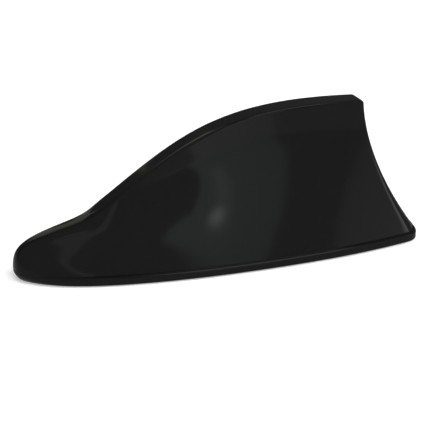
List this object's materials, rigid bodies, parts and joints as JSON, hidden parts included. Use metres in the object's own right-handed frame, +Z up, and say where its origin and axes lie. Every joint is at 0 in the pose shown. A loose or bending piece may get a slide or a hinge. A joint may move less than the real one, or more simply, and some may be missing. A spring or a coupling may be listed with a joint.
{
  "type": "shark fin aerial",
  "caption": "Gloss black shark fin roof aerial: hollow moulded cover with a flat spine on a screwed base plate, with foam tape, a cable grommet and an amplifier and coil inside.",
  "frame": {"origin": "on the roof, under the middle of the aerial", "axes": "+X from the nose to the tail, +Z up, even about the plane Y = 0 on the outside"},
  "size_m": [0.169, 0.0596, 0.0578],
  "materials": {
    "gloss_black_cover": "gloss moulded, polished tool",
    "black_base_moulding": "fine grained moulding",
    "black_rubber": "matt",
    "grey_foam": "closed cell foam, matt",
    "plated_steel": "zinc plated",
    "tinned_sheet": "tinned, rolled",
    "board_laminate": "lacquered laminate",
    "chip_resin": "moulded resin",
    "can_aluminium": "drawn",
    "choke_ferrite": "sintered, matt",
    "chip_ceramic": "fired ceramic",
    "resistor_ceramic": "fired ceramic, glazed top",
    "socket_brass": "turned, bright",
    "white_insulator": "turned fluoroplastic",
    "natural_carrier": "natural moulded nylon",
    "copper_wire": "enamelled copper",
    "spring_bronze": "stamped bronze strip"
  },
  "bodies": {
    "root": {"fin_cover": "gloss_black_cover", "base_plate": "black_base_moulding", "cover_seal": "black_rubber", "foam_tape": "grey_foam", "cable_grommet": "black_rubber", "cover_screws": "plated_steel", "ground_plate": "tinned_sheet", "amplifier_board": "board_laminate", "board_screws": "plated_steel", "shield_can": "tinned_sheet", "amplifier_chip": "chip_resin", "smoothing_capacitor": "can_aluminium", "supply_choke": "choke_ferrite", "chip_capacitors": "chip_ceramic", "chip_resistors": "resistor_ceramic", "coax_socket": "socket_brass", "socket_insulator": "white_insulator", "socket_pin": "socket_brass", "antenna_carrier": "natural_carrier", "carrier_screws": "plated_steel", "radiator_coil": "copper_wire", "top_load_plate": "tinned_sheet", "contact_clip": "spring_bronze"}
  },
  "joints": []
}
